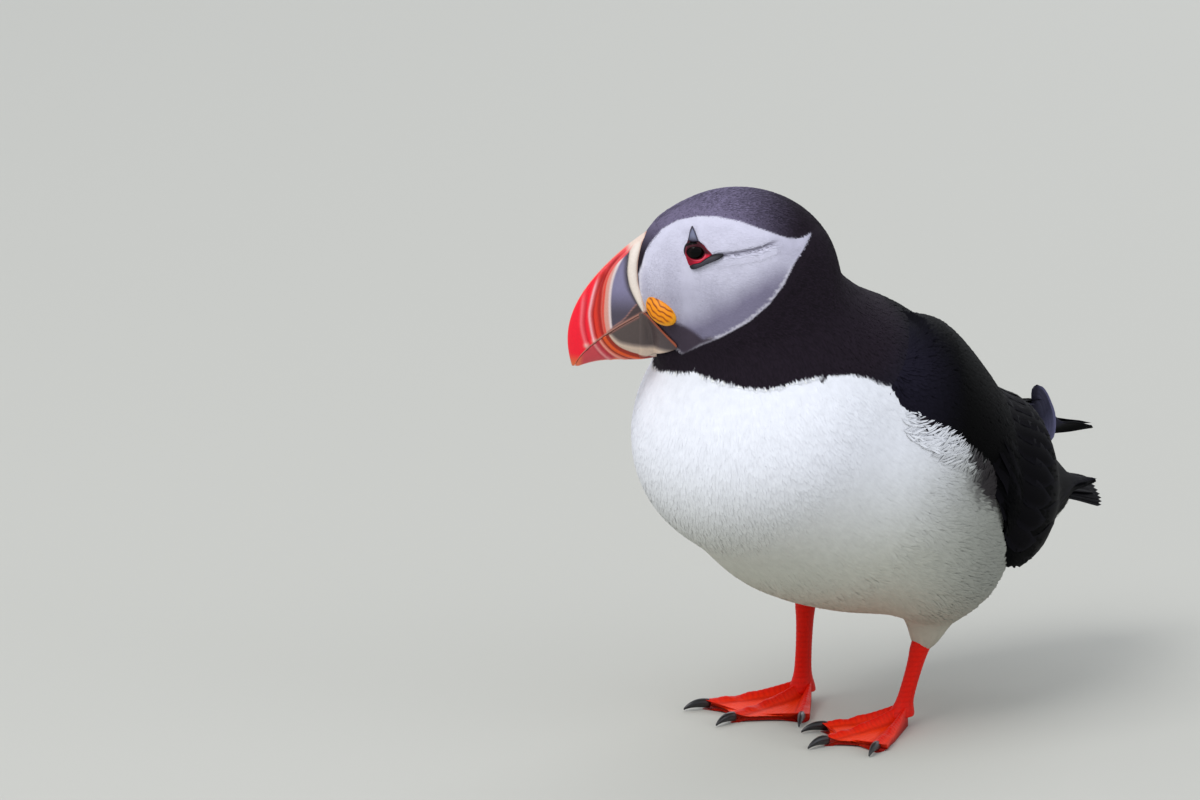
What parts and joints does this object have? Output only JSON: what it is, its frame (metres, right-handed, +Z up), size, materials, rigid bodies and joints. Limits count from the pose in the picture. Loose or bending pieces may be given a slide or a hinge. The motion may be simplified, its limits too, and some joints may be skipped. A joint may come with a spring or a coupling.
{
  "type": "atlantic puffin",
  "caption": "Life-size still model of a standing Atlantic puffin in summer dress, its big grooved bill and head turned to its right, for display.",
  "frame": {"origin": "middle of the bird's bounding box in plan, on the floor under its feet", "axes": "+Z up, -Y the way the body faces, +X the bird's left; the head is turned 45 degrees to the bird's right"},
  "size_m": [0.0946, 0.2134, 0.1835],
  "materials": {
    "white_feathers": "soft matt plumage",
    "black_feathers": "close silky plumage with a faint cool sheen",
    "face_feathers": "very short smooth plumage",
    "bill_horn": "waxy grooved horn, red with slate and cream plates",
    "mouth_skin": "bare wrinkled skin",
    "eye": "wet and glossy",
    "foot_skin": "scaly satin skin",
    "claw_horn": "dull polished horn"
  },
  "bodies": {
    "root": {"head": "face_feathers", "neck": "black_feathers", "trunk": "white_feathers", "tail": "black_feathers", "wing_left": "black_feathers", "wing_right": "black_feathers", "thigh_left": "white_feathers", "thigh_right": "white_feathers", "bill_upper": "bill_horn", "bill_lower": "bill_horn", "rosette_left": "mouth_skin", "rosette_right": "mouth_skin", "eye_left": "eye", "eye_right": "eye", "tarsus_left": "foot_skin", "tarsus_right": "foot_skin", "foot_left": "foot_skin", "foot_right": "foot_skin", "claw_left_1": "claw_horn", "claw_left_2": "claw_horn", "claw_left_3": "claw_horn", "claw_right_1": "claw_horn", "claw_right_2": "claw_horn", "claw_right_3": "claw_horn"}
  },
  "joints": []
}
